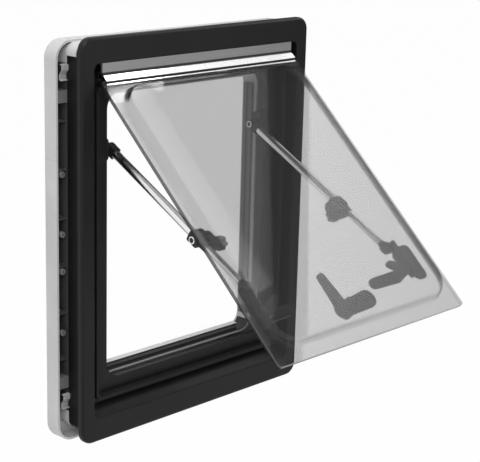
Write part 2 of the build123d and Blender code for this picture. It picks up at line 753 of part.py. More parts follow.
write(make_outer_frame(), "outer_frame")
write(make_seal(), "frame_seal")
write(make_hinge_rail(), "hinge_rail")
write(make_inner_frame(), "inner_frame")
write(make_frame_clamps(), "frame_clamps")
write(make_blind_bar(1), "upper_blind_bar")
write(make_blind_bar(-1), "lower_blind_bar")

write(make_outer_pane(), "outer_pane")
write(make_inner_pane(), "inner_pane")
write(make_sash_rail(), "sash_rail")

for catch in ("left", "centre", "right"):
    write(make_catch_base(catch), f"catch_base_{catch}")
    write(make_catch_lever(catch), f"catch_lever_{catch}")

for hand, sign in SIDES.items():
    write(make_blind_guide(sign), f"blind_guide_{hand}")
    write(make_anchor(sign), f"stay_anchor_{hand}")
    write(make_stay_mount(sign), f"stay_mount_{hand}")
    write(make_stay_tube(sign), f"stay_tube_{hand}")
    write(make_stay_eye(sign), f"stay_eye_{hand}")
    write(make_stay_clamp(sign), f"stay_clamp_{hand}")
    write(make_stay_knob(sign), f"stay_knob_{hand}")
    write(make_stay_rod(sign), f"stay_rod_{hand}")
    write(make_rod_end(sign), f"rod_end_{hand}")
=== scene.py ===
import json
import math

import bmesh
import bpy
from mathutils import Matrix, Vector


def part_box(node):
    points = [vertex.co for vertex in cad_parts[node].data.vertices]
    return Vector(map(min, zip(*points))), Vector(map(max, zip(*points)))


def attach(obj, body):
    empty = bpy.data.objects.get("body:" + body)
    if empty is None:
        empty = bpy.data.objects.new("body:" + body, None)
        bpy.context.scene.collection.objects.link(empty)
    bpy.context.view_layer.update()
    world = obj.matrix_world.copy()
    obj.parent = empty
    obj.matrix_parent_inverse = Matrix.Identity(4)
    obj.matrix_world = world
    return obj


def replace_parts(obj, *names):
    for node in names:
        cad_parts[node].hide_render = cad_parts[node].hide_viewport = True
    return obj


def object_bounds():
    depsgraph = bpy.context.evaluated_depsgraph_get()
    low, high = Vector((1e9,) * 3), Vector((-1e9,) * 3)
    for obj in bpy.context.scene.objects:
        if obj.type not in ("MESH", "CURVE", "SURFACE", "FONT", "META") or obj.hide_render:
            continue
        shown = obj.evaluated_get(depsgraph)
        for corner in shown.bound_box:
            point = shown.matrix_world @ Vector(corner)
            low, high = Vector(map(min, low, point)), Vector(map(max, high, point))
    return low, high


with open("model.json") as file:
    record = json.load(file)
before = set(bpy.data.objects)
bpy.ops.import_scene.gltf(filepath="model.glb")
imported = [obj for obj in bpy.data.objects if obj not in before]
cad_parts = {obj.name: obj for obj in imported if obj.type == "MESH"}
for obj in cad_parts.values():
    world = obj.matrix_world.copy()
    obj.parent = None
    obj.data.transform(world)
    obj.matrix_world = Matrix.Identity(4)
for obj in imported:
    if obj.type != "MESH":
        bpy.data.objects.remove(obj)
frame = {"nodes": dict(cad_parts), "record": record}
CAD_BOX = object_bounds()
NODES = frame["nodes"]
JOINTS = {joint["name"]: joint for joint in frame["record"]["behaviour"]["joints"]}
SIDES = {"left": -1, "right": 1}
ACROSS = Vector((1, 0, 0))
INWARDS = Vector((0, 1, 0))
UP = Vector((0, 0, 1))

# Lengths are in metres, and tones are linear greys.
# The camera, fitted to the frame's edges; its angles are in degrees
FOCAL_PX = 1439.1
IMAGE_W_PX = 480.0
SENSOR_MM = 36.0
CAMERA_YAW = 46.46
CAMERA_PITCH = 14.97
CAMERA_ROLL = -1.53
CAMERA_AT = Vector((-1.3493, -1.3675, 0.7672))

# The open sash: along runs from the hinge to the bottom edge, out is square to the pane
HINGE = Vector(JOINTS["sash_hinge"]["pos_m"])
SASH_OPEN = math.radians(-JOINTS["sash_hinge"]["range_deg"][0])
ALONG = Vector((0, -math.sin(SASH_OPEN), -math.cos(SASH_OPEN)))
OUT = Vector((0, -math.cos(SASH_OPEN), math.sin(SASH_OPEN)))
STAY_AXIS = Vector(JOINTS["rod_left_slide"]["axis"])

# The two formed panes: each has a flat rim and a soft step round its middle.
# Rise is outwards; side, top and bottom say where the step starts, and the gap keeps the panes apart
SHEET_R = 0.004
SHEET_GAP = 0.0001
STEP_SOFT = 0.001
STEP_RINGS = 14
STEP_GUARD = 0.0008
CORNER_STEPS = 16
SHEETS = {
    "outer_pane": dict(
        piece="domed_pane", slot="outer_acrylic", thick=0.003, rise=0.011,
        side=0.0147, top=0.0225, bottom=0.0186, radius=0.036, slope=0.003,
    ),
    "inner_pane": dict(
        piece="dished_pane", slot="inner_acrylic", thick=0.0025, rise=-0.0045,
        side=0.011, top=0.021, bottom=0.026, radius=0.036, slope=0.005,
    ),
}

# The cap on the sash rail, and the gasket beside its lip.
# Each point is a distance from the hinge and a height along OUT
RAIL_CAP = (
    (0.0030, 0.0057), (0.0112, 0.0057), (0.0119, 0.0050), (0.0119, 0.0031),
    (0.0110, 0.0031), (0.0110, 0.0046), (0.0108, 0.0048), (0.0030, 0.0048),
)
RAIL_GASKET = (
    (0.0120, 0.0031), (0.0120, 0.0051), (0.0128, 0.0049),
    (0.0136, 0.0043), (0.0141, 0.0036), (0.0142, 0.0031),
)

# Small metal rings round the stays' rivets and pins.
# The profile says how far out and how high each point lies, in shares of the wire
RING_STEPS = 32
RING_PROFILE = ((1.0, -1.0), (1.0, 0.2), (0.7, 0.8), (0.0, 1.0), (-0.7, 0.8), (-1.0, 0.2), (-1.0, -0.4))
RIVET_RING_R = 0.0042
RIVET_RING_WIRE = 0.0009
PIN_RING_R = 0.0040
PIN_RING_WIRE = 0.0008

# In the wall gap: spring clips, screw bosses and the light covers at the top corners of the web.
# Each point of a clip is a depth and a height; the trim's wall is that of the room-side frame
TRIM_WALL = 0.0028
CLIP_HEIGHTS = (0.4875, 0.0465)
CLIP_W = 0.011
CLIP_T = 0.0009
CLIP_PROFILE = (
    (0.034, 0.0105), (0.030, 0.0095), (0.030, 0.003),
    (0.035, -0.003), (0.035, -0.009), (0.031, -0.0105),
)
BOSS_HEIGHTS = (0.3555, 0.2760, 0.2260, 0.1420)
BOSS_R = 0.0042
BOSS_H = 0.0030
BOSS_BEVEL_R = 0.85 * BOSS_R
BOSS_BEVEL_H = 0.7 * BOSS_H
BOSS_HOLE_R = 0.0017
BOSS_HOLE_D = 0.0016
BOSS_HOLE_END_R = 0.9 * BOSS_HOLE_R
COVER_T = 0.0012
COVER_GAP = 0.0004
COVER_FRONT = 0.014
COVER_DROP = 0.002
COVER_RUN = 0.030
COVER_R = 0.013

# Points this close to the furthest one lie on its face, and edges that turn by more than this are sharp
FACE_REACH = 1e-5
SHARP_ANGLE = math.radians(32)

# Finishes: grain and depth are the width and the height of the fine relief, spread is how far a tone
# varies, and most of a noise lies within its span
NOISE_SPAN = (0.3, 0.7)
CLOUD_DETAIL = 3.0
GRAIN_DETAIL = 2.0
GRAIN_ROUGH = 0.07
MOULDINGS = {
    "black_frame": dict(level=0.0085, rough=0.40, specular=0.18, grain=0.0007, depth=0.00003),
    "seal_rubber": dict(level=0.010, rough=0.72, specular=0.25, grain=0.0012, depth=0.00004),
    "grey_trim": dict(level=0.16, rough=0.55, specular=0.3, grain=0.0009, depth=0.00003),
    "black_fittings": dict(level=0.016, rough=0.48, specular=0.3, grain=0.0008, depth=0.00004),
    "clip_metal": dict(level=0.42, rough=0.3, specular=0.6, grain=0.0008, depth=0.00003),
    "light_cover": dict(level=0.55, rough=0.45, specular=0.35, grain=0.0008, depth=0.00003),
    "bar_trim": dict(level=0.85, rough=0.42, specular=0.35, grain=0.0008, depth=0.00003, spread=0.04),
    "light_trim": dict(
        level=0.55, rough=0.49, specular=0.3, grain=0.000625, depth=0.00003,
        spread=0.0727, cloud=11.0, bump=0.5,
    ),
}

# Metals have streaks: a noise that is fine across them and long along them
STREAK_FINE = 700.0
STREAK_LONG = 5.0
STREAK_DETAIL = 3.0
STREAK_ROUGH = (0.8, 1.2)
STREAK_DEPTH = 0.00002
STREAK_BUMP = 0.4
METALS = {
    "rail_aluminium": dict(level=0.92, rough=0.13, direction=ACROSS, spread=0.03),
    "stay_aluminium": dict(level=0.84, rough=0.2, direction=STAY_AXIS),
    "hinge_aluminium": dict(level=0.27, rough=0.38, direction=ACROSS, spread=0.08, metallic=0.6),
}

# Acrylic: how much it covers on its faces, seen squarely (clear) and at a glance (steep), and on the
# walls of its step, at their foot and at their top. Lean is 1 on a flat face and 0 at a cut edge.
# The steep walls also take a painted shade, and it and their cover fade between two distances from the
# bottom edge. A cut edge at the foot has one cover, and that of the side edges changes from left to right,
# so the right-hand edge shows a painted light
ACRYLICS = {
    "outer_acrylic": dict(clear=0.19, steep=0.5, wall=(0.5, 1.0), gloss=1.0),
    "inner_acrylic": dict(clear=0.19, steep=0.3, wall=(0.25, 0.25), gloss=0.1),
}
ACRYLIC_IOR = 1.49
SHEET_TONE = 0.055
SHEET_ROUGH = (0.02, 0.05)
SHEET_GLANCE = (0.6, 0.93)
GLANCE_BLEND = 0.5
SMEAR_SCALE = 9.0
SMEAR_DETAIL = 4.0
EDGE_TONE = 0.015
EDGE_LEAN = (0.06, 0.12)
EDGE_TURN = (0.4, 0.6)
EDGE_X = (-0.1, 0.1)
EDGE_SIDE_COVER = (0.88, 0.4)
EDGE_FOOT_COVER = 0.95
WALL_LEAN = (0.9, 0.75)
WALL_GLANCE = (0.3, 0.5)
WALL_RISE = (0.0, 0.006)
WALL_SHADE_FADES = (0.052, 0.024)
WALL_FOOT_SHARE = 0.25

# Colours by place. The room-side frame: painted shade in its channel in the wall gap, one seam, and painted
# shade on the opening's sill
CHANNEL_HALF_H = 0.234
CHANNEL_SHADE_TONE = 0.06
SEAM_Z = 0.3745
SEAM_W = 0.0005
SEAM_SHARE = 0.35
SEAM_TONE = 0.1
SILL_Z = 0.082
SILL_HALF_W = 0.153
SILL_TILT = 0.3
SILL_SHADE_TONE = 0.02

# The hinge rail: heights over the hinge's axis between which the painted shade of its groove ends
GROOVE_END = (0.0052, 0.0062)
GROOVE_SHADE_TONE = 0.03

# The lower blind bar: its two dark lines, the front one a painted shadow, and the tilt between its top and
# its front, which takes a painted grey shade
BAR_LINE = 0.0016
BAR_EDGE = 0.0020
BAR_TILT = (0.5, 0.3)
BAR_FRONT_SHADE_TONE = 0.12
BAR_LINE_TONE = 0.02

# Nodes that don't take the finish of their slot
OWN_FINISH = {"hinge_rail": "hinge_aluminium", "lower_blind_bar": "bar_trim"}

# The studio: a white surround, a pale floor, two soft lamps, and cards that only reflections show.
# Each lamp has a name, a place, a size and its watts
AMBIENT = 0.62
FLOOR_DROP = 0.30
FLOOR_SIZE = 40.0
FLOOR_TONE = 0.85
FLOOR_ROUGH = 0.9
FLOOR_WHITE = 0.97
LAMPS = (
    ("key_lamp", Vector((-1.6, -1.5, 1.5)), 1.4, 20.0),
    ("top_lamp", Vector((-0.5, -0.2, 1.9)), 0.9, 11.0),
)
LAMP_AIM = Vector((0.0, -0.05, 0.26))
SIDE_CARD_X = 1.2
SIDE_CARD_Y = (-0.9, 1.2)
SIDE_CARD_Z = (-0.3, 1.5)
GLINT_AT = Vector((-0.72, -0.76, 1.60))
GLINT_AIM = Vector((-0.15, -0.33, 0.20))
GLINT_SIZE = (0.30, 0.70)
GLINT_LIGHT = 20.0

# Softboxes on a plane that the pane mirrors to the camera. Start and stop are the ends of the upper edge,
# across and up that plane; lights are the strengths at the foot and at the top, and behind is a distance
# from the plane
CARD_AIM = (0.0785, 0.327)
CARD_DISTANCE = 1.2
SOFTBOXES = {
    "veil_box": dict(start=(-0.520, 0.062), stop=(0.620, 0.242), height=0.46, lights=(1.3, 4.6)),
    "corner_box": dict(start=(0.228, 0.612), stop=(0.296, 0.612), height=0.06, lights=(14.0, 14.0)),
    "corner_tail": dict(start=(0.256, 0.552), stop=(0.280, 0.552), height=0.046, lights=(14.0, 14.0)),
    "streak_box": dict(start=(0.176, 0.642), stop=(-0.206, 0.299), height=0.13, lights=(2.5, 6.5)),
    "rail_box": dict(
        start=(0.654, 1.051), stop=(0.934, 0.078), height=0.5, lights=(0.95, 0.95), behind=0.05,
    ),
}


def sash_point(x, along, out):
    return HINGE + ALONG * along + OUT * out + Vector((x, 0, 0))


def node_points(node):
    return [vertex.co for vertex in NODES[node].data.vertices]


def spans(points):
    """The lowest and the highest value of each coordinate."""
    return [(min(p[i] for p in points), max(p[i] for p in points)) for i in range(3)]


def sash_span(node):
    """Where a node lies on the sash: its spans of x, of distance from the hinge, and of place along OUT."""
    return spans([(p.x, (p - HINGE).dot(ALONG), (p - HINGE).dot(OUT)) for p in node_points(node)])


def end_face(node, direction):
    """The spans of the face that lies furthest along a direction on a node."""
    points = node_points(node)
    reach = max(p.dot(direction) for p in points)
    return spans([p for p in points if p.dot(direction) > reach - FACE_REACH])


def end_centre(node, side):
    """The middle of the face that lies furthest to one side on a node."""
    return Vector([(low + high) / 2 for low, high in end_face(node, ACROSS * side)])


# The web, measured at its edge in the wall gap
WEB_HALF_W, _, WEB_HALF_H = ((high - low) / 2 for low, high in end_face("outer_frame", INWARDS))


def grey(level):
    return (level, level, level, 1.0)


class Graph:
    """A node tree, with short calls for its nodes."""

    def __init__(self, tree):
        self.tree = tree

    def add(self, kind, inputs=None, **settings):
        node = self.tree.nodes.new("ShaderNode" + kind)
        for name, value in settings.items():
            setattr(node, name, value)
        for name, value in (inputs or {}).items():
            self.put(node.inputs[name], value)
        return node

    def put(self, socket, value):
        if isinstance(value, bpy.types.NodeSocket):
            self.tree.links.new(value, socket)
        else:
            socket.default_value = value

    def place(self, output="Object"):
        return self.add("TexCoord").outputs[output]

    def xyz(self, vector):
        return self.add("SeparateXYZ", {0: vector}).outputs

    def dot(self, vector, direction):
        return self.add("VectorMath", {0: vector, 1: direction}, operation="DOT_PRODUCT").outputs["Value"]

    def math(self, operation, *values):
        return self.add("Math", dict(enumerate(values)), operation=operation).outputs[0]

    def away(self, value, middle):
        """How far a value is from a middle one."""
        return self.math("ABSOLUTE", self.math("SUBTRACT", value, middle))

    def above(self, value, limit):
        return self.math("GREATER_THAN", value, limit)

    def below(self, value, limit):
        return self.math("LESS_THAN", value, limit)

    def all_of(self, *masks):
        """1 where every mask is 1."""
        share = masks[0]
        for mask in masks[1:]:
            share = self.math("MULTIPLY", share, mask)
        return share

    def ramp(self, value, low, high, at_low=0.0, at_high=1.0):
        inputs = {"Value": value, "From Min": low, "From Max": high, "To Min": at_low, "To Max": at_high}
        return self.add("MapRange", inputs).outputs["Result"]

    def blend(self, share, first, second):
        return self.add("Mix", {0: share, 6: first, 7: second}, data_type="RGBA").outputs[2]

    def noise(self, place, scale, detail):
        return self.add("TexNoise", {"Vector": place, "Scale": scale, "Detail": detail}).outputs[0]

    def stretch(self, noise, low=0.0, high=1.0):
        """A noise that runs from low to high."""
        return self.ramp(noise, *NOISE_SPAN, low, high)

    def tint(self, shader, noise, level, spread):
        """Lets a noise vary a shader's tone by a share of its level."""
        tones = grey(level * (1 - spread)), grey(level * (1 + spread))
        self.put(shader.inputs["Base Color"], self.blend(self.stretch(noise), *tones))

    def roughen(self, shader, noise, rough, depth, strength):
        """Lets a noise vary a shader's roughness and raise its surface."""
        relief = self.add("Bump", {"Height": noise, "Distance": depth, "Strength": strength})
        self.put(shader.inputs["Roughness"], self.stretch(noise, *rough))
        self.put(shader.inputs["Normal"], relief.outputs["Normal"])


def new_material(name):
    """A new material, its graph and its shader."""
    material = bpy.data.materials.new(name)
    material.use_nodes = True
    return material, Graph(material.node_tree), material.node_tree.nodes["Principled BSDF"]


def moulding(name, level, rough, specular, grain, depth, spread=0.12, cloud=16.0, bump=0.6):
    """Moulded plastic or rubber: a fine grain, and a tone and a gloss that vary a little."""
    material, graph, shader = new_material(name)
    place = graph.place()
    graph.tint(shader, graph.noise(place, cloud, CLOUD_DETAIL), level, spread)
    fine = graph.noise(place, 1.0 / grain, GRAIN_DETAIL)
    graph.roughen(shader, fine, (rough - GRAIN_ROUGH, rough + GRAIN_ROUGH), depth, bump)
    shader.inputs["Specular IOR Level"].default_value = specular
    return material


def metal(name, level, rough, direction, spread=0.1, metallic=1.0):
    """Drawn or extruded aluminium, with fine streaks along its length."""
    material, graph, shader = new_material(name)
    if direction.x == 0:
        turn = math.atan2(direction.y, direction.z)
        scales = (STREAK_FINE, STREAK_FINE, STREAK_LONG)
    else:
        turn = 0.0
        scales = (STREAK_LONG, STREAK_FINE, STREAK_FINE)
    turned = graph.add("VectorRotate", {"Vector": graph.place(), "Angle": turn}, rotation_type="X_AXIS")
    drawn = graph.add("VectorMath", {0: turned.outputs[0], 1: scales}, operation="MULTIPLY")
    streaks = graph.noise(drawn.outputs[0], 1.0, STREAK_DETAIL)
    graph.tint(shader, streaks, level, spread)
    graph.roughen(shader, streaks, [rough * share for share in STREAK_ROUGH], STREAK_DEPTH, STREAK_BUMP)
    shader.inputs["Metallic"].default_value = metallic
    return material


def acrylic(name, clear, steep, wall, gloss):
    """Smoke-grey acrylic sheet: clear across its faces and dark at its cut edges, with the side edges
    painted lighter towards the right as a painted light.

    It is denser at a glancing angle, most of all on the steep walls of its step, which also take a painted
    shade in their tone; both fade along the bottom.
    """
    material, graph, shader = new_material(name)
    place = graph.place()
    normal = graph.place("Normal")
    along = graph.math("SUBTRACT", graph.dot(place, ALONG), HINGE.dot(ALONG))
    height = graph.math("SUBTRACT", graph.dot(place, OUT), HINGE.dot(OUT))
    lean = graph.math("ABSOLUTE", graph.dot(normal, OUT))
    sideways = graph.math("ABSOLUTE", graph.dot(normal, ACROSS))
    glance = graph.add("LayerWeight", {"Blend": GLANCE_BLEND}).outputs["Facing"]

    edge = graph.ramp(lean, *EDGE_LEAN, 1.0, 0.0)
    # Painted light: the side edges cover less from left to right, so the right-hand edge shows lighter
    side_cover = graph.ramp(graph.xyz(place)[0], *EDGE_X, *EDGE_SIDE_COVER)
    edge_cover = graph.all_of(edge, graph.ramp(sideways, *EDGE_TURN, EDGE_FOOT_COVER, side_cover))

    bottom = sash_span("outer_pane")[1][1]
    # Painted shade: steep walls seen at a glance take a dark tone and more cover, fading towards the bottom
    # edge
    fade_from, fade_to = (bottom - reach for reach in WALL_SHADE_FADES)
    upper = graph.ramp(along, fade_from, fade_to, 1.0, WALL_FOOT_SHARE)
    wall_shade = graph.all_of(graph.ramp(lean, *WALL_LEAN), graph.ramp(glance, *WALL_GLANCE), upper)
    wall_cover = graph.all_of(wall_shade, graph.ramp(height, *WALL_RISE, *wall))

    face_cover = graph.ramp(glance, *SHEET_GLANCE, clear, steep)
    cover = graph.math("MAXIMUM", graph.math("MAXIMUM", face_cover, wall_cover), edge_cover)
    dark = graph.math("MAXIMUM", edge, wall_shade)
    smear = graph.noise(place, SMEAR_SCALE, SMEAR_DETAIL)
    graph.put(shader.inputs["Base Color"], graph.blend(dark, grey(SHEET_TONE), grey(EDGE_TONE)))
    graph.put(shader.inputs["Alpha"], cover)
    graph.put(shader.inputs["Roughness"], graph.stretch(smear, *SHEET_ROUGH))
    shader.inputs["IOR"].default_value = ACRYLIC_IOR
    shader.inputs["Specular IOR Level"].default_value = gloss
    return material


def open_paint(material):
    """The graph of a finished material, its colour socket, and the colour that it has so far."""
    colour = material.node_tree.nodes["Principled BSDF"].inputs["Base Color"]
    return Graph(material.node_tree), colour, colour.links[0].from_socket


def paint_trim(material):
    """The room-side frame: painted shade in the channel where the wall goes, one seam, and painted shade on
    the sill.
    """
    low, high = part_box("inner_frame")
    web_low, web_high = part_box("outer_frame")
    half_w = high[0] - TRIM_WALL
    half_h = (high[2] - low[2]) / 2 - TRIM_WALL
    graph, colour, skin = open_paint(material)
    x, y, z = graph.xyz(graph.place())
    side = graph.math("ABSOLUTE", x)
    rise = graph.away(z, (high[2] + low[2]) / 2)
    web_rise = graph.away(z, (web_high[2] + web_low[2]) / 2)
    front = graph.below(y, high[1] - TRIM_WALL)

    # Painted shade: the channel in the wall gap is darkened as if shade fell there
    beside_web = graph.above(side, WEB_HALF_W - TRIM_WALL)
    over_web = graph.above(web_rise, WEB_HALF_H - TRIM_WALL)
    within = graph.all_of(graph.below(side, half_w), graph.below(rise, half_h))
    beyond = graph.math("MAXIMUM", beside_web, over_web)
    channel = graph.all_of(within, beyond, front, graph.below(web_rise, CHANNEL_HALF_H))

    near_seam = graph.ramp(graph.away(z, SEAM_Z), 0.0, SEAM_W, SEAM_SHARE, 0.0)
    seam = graph.all_of(near_seam, graph.above(side, half_w))

    # Painted shade: the upward faces of the sill are darkened
    upward = graph.above(graph.dot(graph.place("Normal"), UP), SILL_TILT)
    sill = graph.all_of(graph.below(side, SILL_HALF_W), graph.below(z, SILL_Z), upward, front)

    for mask, tone in ((seam, SEAM_TONE), (channel, CHANNEL_SHADE_TONE), (sill, SILL_SHADE_TONE)):
        skin = graph.blend(mask, skin, grey(tone))
    graph.put(colour, skin)


def paint_hinge(material):
    """The hinge rail: painted shade in the groove under its face."""
    graph, colour, streaks = open_paint(material)
    z = graph.xyz(graph.place())[2]
    groove_low, groove_high = (HINGE.z + height for height in GROOVE_END)
    groove = graph.ramp(z, groove_low, groove_high, 1.0, 0.0)
    graph.put(colour, graph.blend(groove, streaks, grey(GROOVE_SHADE_TONE)))


def paint_bar(material):
    """The lower blind bar: a dark line behind its white top, a front in a painted grey shade, and a painted
    shadow line under the top's edge.
    """
    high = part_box("lower_blind_bar")[1]
    graph, colour, skin = open_paint(material)
    _, y, z = graph.xyz(graph.place())
    # Painted shade: faces that turn to the front are greyer than the top, and a painted shadow runs under
    # the top's edge
    front = graph.ramp(graph.dot(graph.place("Normal"), UP), *BAR_TILT)
    back_line = graph.above(y, high[1] - BAR_LINE)
    lip_shadow_line = graph.all_of(front, graph.above(z, high[2] - BAR_EDGE - BAR_LINE))
    line = graph.math("MAXIMUM", back_line, lip_shadow_line)
    faces = graph.blend(front, skin, grey(BAR_FRONT_SHADE_TONE))
    graph.put(colour, graph.blend(line, faces, grey(BAR_LINE_TONE)))


FINISHES = {}
for make, looks in ((moulding, MOULDINGS), (metal, METALS), (acrylic, ACRYLICS)):
    for name, look in looks.items():
        FINISHES[name] = make(name, **look)
paint_trim(FINISHES["light_trim"])
paint_hinge(FINISHES["hinge_aluminium"])
paint_bar(FINISHES["bar_trim"])


def dress_nodes():
    """Each CAD node takes the finish of its slot, but for those that have their own."""
    for part in frame["record"]["subparts"]:
        data = NODES[part["node"]].data
        data.materials.clear()
        data.materials.append(FINISHES[OWN_FINISH.get(part["node"], part["material_slot"])])


def add_piece(name, mesh, body, slot, finish=None):
    """Makes an object of a bmesh, smooth but for its sharp edges, and lets it ride on a body."""
    bmesh.ops.recalc_face_normals(mesh, faces=mesh.faces)
    data = bpy.data.meshes.new(name)
    mesh.to_mesh(data)
    mesh.free()
    data.polygons.foreach_set("use_smooth", [True] * len(data.polygons))
    data.set_sharp_from_angle(angle=SHARP_ANGLE)
    data.materials.append(FINISHES[finish or slot])
    piece = bpy.data.objects.new(name, data)
    bpy.context.scene.collection.objects.link(piece)
    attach(piece, body)
    return piece


def bridge(mesh, first, second):
    """Faces between two closed rows of points."""
    count = len(first)
    for i in range(count):
        j = (i + 1) % count
        mesh.faces.new((first[i], first[j], second[j], second[i]))


def rounded_outline(half_w, low, high, radius):
    """Points round a rounded rectangle on the sash, as x and distance from the hinge."""
    right, left = half_w - radius, radius - half_w
    centres = ((right, high - radius), (left, high - radius), (left, low + radius), (right, low + radius))
    points = []
    for corner, (x, along) in enumerate(centres):
        for step in range(CORNER_STEPS + 1):
            angle = math.pi / 2 * (corner + step / CORNER_STEPS)
            points.append((x + radius * math.cos(angle), along + radius * math.sin(angle)))
    return points


def make_sheet(node, piece, slot, thick, rise, side, top, bottom, radius, slope):
    """A pane of even thickness, with a soft S-shaped step from its rim to its middle."""
    (_, half_w), (start, end), (low, high) = sash_span(node)
    front = low + thick if rise > 0 else high - SHEET_GAP
    rings = [(rounded_outline(half_w, start, end, SHEET_R), 0.0)]
    first, last = -STEP_SOFT, slope + STEP_SOFT
    insets = [first - STEP_GUARD] + [first + (last - first) * i / STEP_RINGS for i in range(STEP_RINGS + 1)]
    for inset in insets + [last + STEP_GUARD]:
        share = min(max((inset - first) / (last - first), 0.0), 1.0)
        outline = rounded_outline(half_w - side - inset, top + inset, end - bottom - inset, radius - inset)
        rings.append((outline, rise * (3 * share**2 - 2 * share**3)))
    mesh = bmesh.new()
    edges = []
    for level in (front, front - thick):
        skin = [[mesh.verts.new(sash_point(x, a, level + step)) for x, a in ring] for ring, step in rings]
        for outer, inner in zip(skin, skin[1:]):
            bridge(mesh, outer, inner)
        mesh.faces.new(skin[-1])
        edges.append(skin[0])
    bridge(mesh, *edges)
    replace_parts(add_piece(piece, mesh, "sash", slot), node)


def make_rail_strip(name, profile, slot):
    """A strip along the sash rail, with this profile."""
    mesh = bmesh.new()
    rows = []
    for x in sash_span("sash_rail")[0]:
        rows.append([mesh.verts.new(sash_point(x, along, out)) for along, out in profile])
        mesh.faces.new(rows[-1])
    bridge(mesh, *rows)
    add_piece(name, mesh, "sash", slot)


def lathe(mesh, profile, centre, axis):
    """Turns rows of (radius, height) about an axis; the first and last rows are closed by faces."""
    turn = UP.rotation_difference(axis)
    rows = []
    for radius, height in profile:
        row = []
        for step in range(RING_STEPS):
            angle = 2 * math.pi * step / RING_STEPS
            local = Vector((radius * math.cos(angle), radius * math.sin(angle), height))
            row.append(mesh.verts.new(centre + turn @ local))
        rows.append(row)
    for first, second in zip(rows, rows[1:]):
        bridge(mesh, first, second)
    mesh.faces.new(rows[0])
    mesh.faces.new(rows[-1])


def ring_piece(name, centre, axis, radius, wire, body):
    """A turned metal washer with a rounded rim."""
    mesh = bmesh.new()
    lathe(mesh, [(radius + out * wire, up * wire) for out, up in RING_PROFILE], centre, axis)
    add_piece(name, mesh, body, "stay_aluminium")


def make_rings():
    """A ring round each clamp's rivet and each anchor's pin."""
    for hand, side in SIDES.items():
        outwards = ACROSS * side
        rivet = end_centre(f"stay_clamp_{hand}", side)
        ring_piece(f"rivet_ring_{hand}", rivet, outwards, RIVET_RING_R, RIVET_RING_WIRE, f"stay_{hand}")
        pin = end_centre(f"stay_anchor_{hand}", -side)
        ring_piece(f"pin_ring_{hand}", pin, -outwards, PIN_RING_R, PIN_RING_WIRE, "frame")


def make_gap_clips(hand, side):
    """Bent spring clips between the web and the room-side frame."""
    back = [(y + CLIP_T, z - CLIP_T / 2) for y, z in reversed(CLIP_PROFILE)]
    outline = [*CLIP_PROFILE, *back]
    mesh = bmesh.new()
    for height in CLIP_HEIGHTS:
        rows = []
        for end in (WEB_HALF_W, WEB_HALF_W + CLIP_W):
            rows.append([mesh.verts.new((side * end, y, height + z)) for y, z in outline])
            mesh.faces.new(rows[-1])
        bridge(mesh, *rows)
    add_piece(f"gap_clips_{hand}", mesh, "frame", "rail_aluminium", "clip_metal")


def make_gap_bosses(hand, side):
    """Screw bosses along the channel of the room-side frame."""
    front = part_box("inner_frame")[0][1]
    x = side * (WEB_HALF_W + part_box("inner_frame")[1][0] - TRIM_WALL) / 2
    profile = [
        (BOSS_R, -BOSS_H),
        (BOSS_R, BOSS_BEVEL_H),
        (BOSS_BEVEL_R, BOSS_H),
        (BOSS_HOLE_R, BOSS_H),
        (BOSS_HOLE_END_R, BOSS_H - BOSS_HOLE_D),
    ]
    mesh = bmesh.new()
    for height in BOSS_HEIGHTS:
        lathe(mesh, profile, Vector((x, front + BOSS_H, height)), -INWARDS)
    add_piece(f"gap_bosses_{hand}", mesh, "frame", "grey_trim")


def make_corner_cover(hand, side):
    """A light strip bent over the top corner of the web, in the wall gap."""
    low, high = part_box("outer_frame")
    top = (low[2] + high[2]) / 2 + WEB_HALF_H
    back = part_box("inner_frame")[0][1]
    path = [Vector((WEB_HALF_W, 0, top - COVER_R - COVER_DROP))]
    for step in range(CORNER_STEPS + 1):
        angle = math.pi / 2 * step / CORNER_STEPS
        x = WEB_HALF_W - COVER_R + COVER_R * math.cos(angle)
        path.append(Vector((x, 0, top - COVER_R + COVER_R * math.sin(angle))))
    path.append(Vector((WEB_HALF_W - COVER_R - COVER_RUN, 0, top)))
    mesh = bmesh.new()
    rows = []
    for y in (COVER_FRONT, back):
        inner, outer = [], []
        for i, point in enumerate(path):
            run = path[min(i + 1, len(path) - 1)] - path[max(i - 1, 0)]
            away = Vector((run.z, 0, -run.x)).normalized()
            for row, reach in ((inner, COVER_GAP), (outer, COVER_GAP + COVER_T)):
                at = point + away * reach
                row.append(mesh.verts.new((side * at.x, y, at.z)))
        rows.append(outer + inner[::-1])
        mesh.faces.new(rows[-1])
    bridge(mesh, *rows)
    add_piece(f"corner_cover_{hand}", mesh, "frame", "light_trim", "light_cover")


def camera_axes():
    """The camera's directions to the right, upwards and forwards."""
    yaw, pitch, roll = (math.radians(a) for a in (CAMERA_YAW, CAMERA_PITCH, CAMERA_ROLL))
    forward = Vector((math.sin(yaw) * math.cos(pitch), math.cos(yaw) * math.cos(pitch), -math.sin(pitch)))
    level = Vector((math.cos(yaw), -math.sin(yaw), 0))
    down = forward.cross(level)
    right = level * math.cos(roll) + down * math.sin(roll)
    up = level * math.sin(roll) - down * math.cos(roll)
    return right, up, forward


def placed(right, up, away, at):
    """A matrix with these axes at a point."""
    return Matrix.Translation(at) @ Matrix((right, up, away)).transposed().to_4x4()


def aimed(at, target):
    """A matrix at a point, whose -Z looks at the target."""
    return Matrix.Translation(at) @ (at - target).to_track_quat("Z", "Y").to_matrix().to_4x4()


